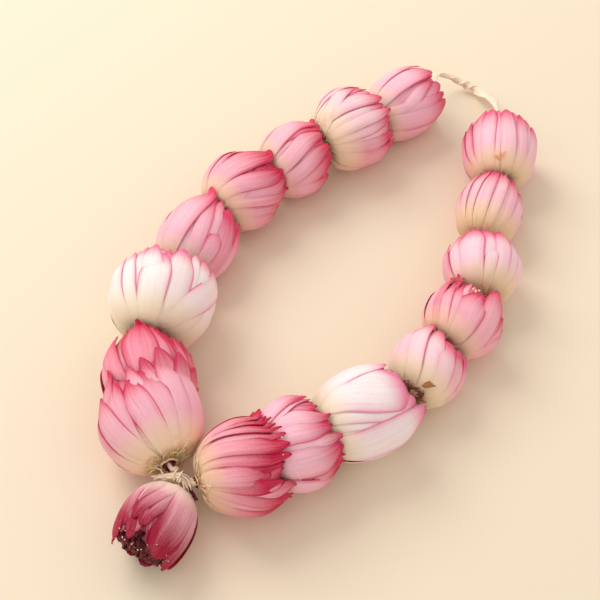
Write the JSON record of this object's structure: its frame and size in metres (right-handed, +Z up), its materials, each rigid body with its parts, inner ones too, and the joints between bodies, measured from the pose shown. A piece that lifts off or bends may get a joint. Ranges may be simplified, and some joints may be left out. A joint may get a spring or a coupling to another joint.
{
  "type": "lotus flower garland",
  "caption": "Garland of pink lotus buds strung base into mouth on a thread round an open loop, with one bud hanging from the knot.",
  "frame": {"origin": "middle of the flowers' box, on the surface the garland lies on", "axes": "+Z up, +Y from the hanging bud and the knot towards the bare thread at the far end of the loop"},
  "size_m": [0.2132, 0.407, 0.0608],
  "materials": {
    "left_1_petals": "soft satin petal",
    "left_2_petals": "soft satin petal",
    "left_3_petals": "soft satin petal",
    "left_4_petals": "soft satin petal",
    "left_5_petals": "soft satin petal",
    "left_6_petals": "soft satin petal",
    "left_7_petals": "soft satin petal",
    "left_8_petals": "soft satin petal",
    "right_1_petals": "soft satin petal",
    "right_2_petals": "soft satin petal",
    "right_3_petals": "soft satin petal",
    "right_4_petals": "soft satin petal",
    "right_5_petals": "soft satin petal",
    "right_6_petals": "soft satin petal",
    "right_7_petals": "soft satin petal",
    "right_8_petals": "soft satin petal",
    "pendant_petals": "soft satin petal",
    "cream_fibre": "matt plant fibre"
  },
  "bodies": {
    "root": {"left_1": "left_1_petals", "left_2": "left_2_petals", "left_3": "left_3_petals", "left_4": "left_4_petals", "left_5": "left_5_petals", "left_6": "left_6_petals", "left_7": "left_7_petals", "left_8": "left_8_petals", "right_1": "right_1_petals", "right_2": "right_2_petals", "right_3": "right_3_petals", "right_4": "right_4_petals", "right_5": "right_5_petals", "right_6": "right_6_petals", "right_7": "right_7_petals", "right_8": "right_8_petals", "pendant": "pendant_petals", "thread": "cream_fibre", "pendant_thread": "cream_fibre", "knot": "cream_fibre"}
  },
  "joints": []
}
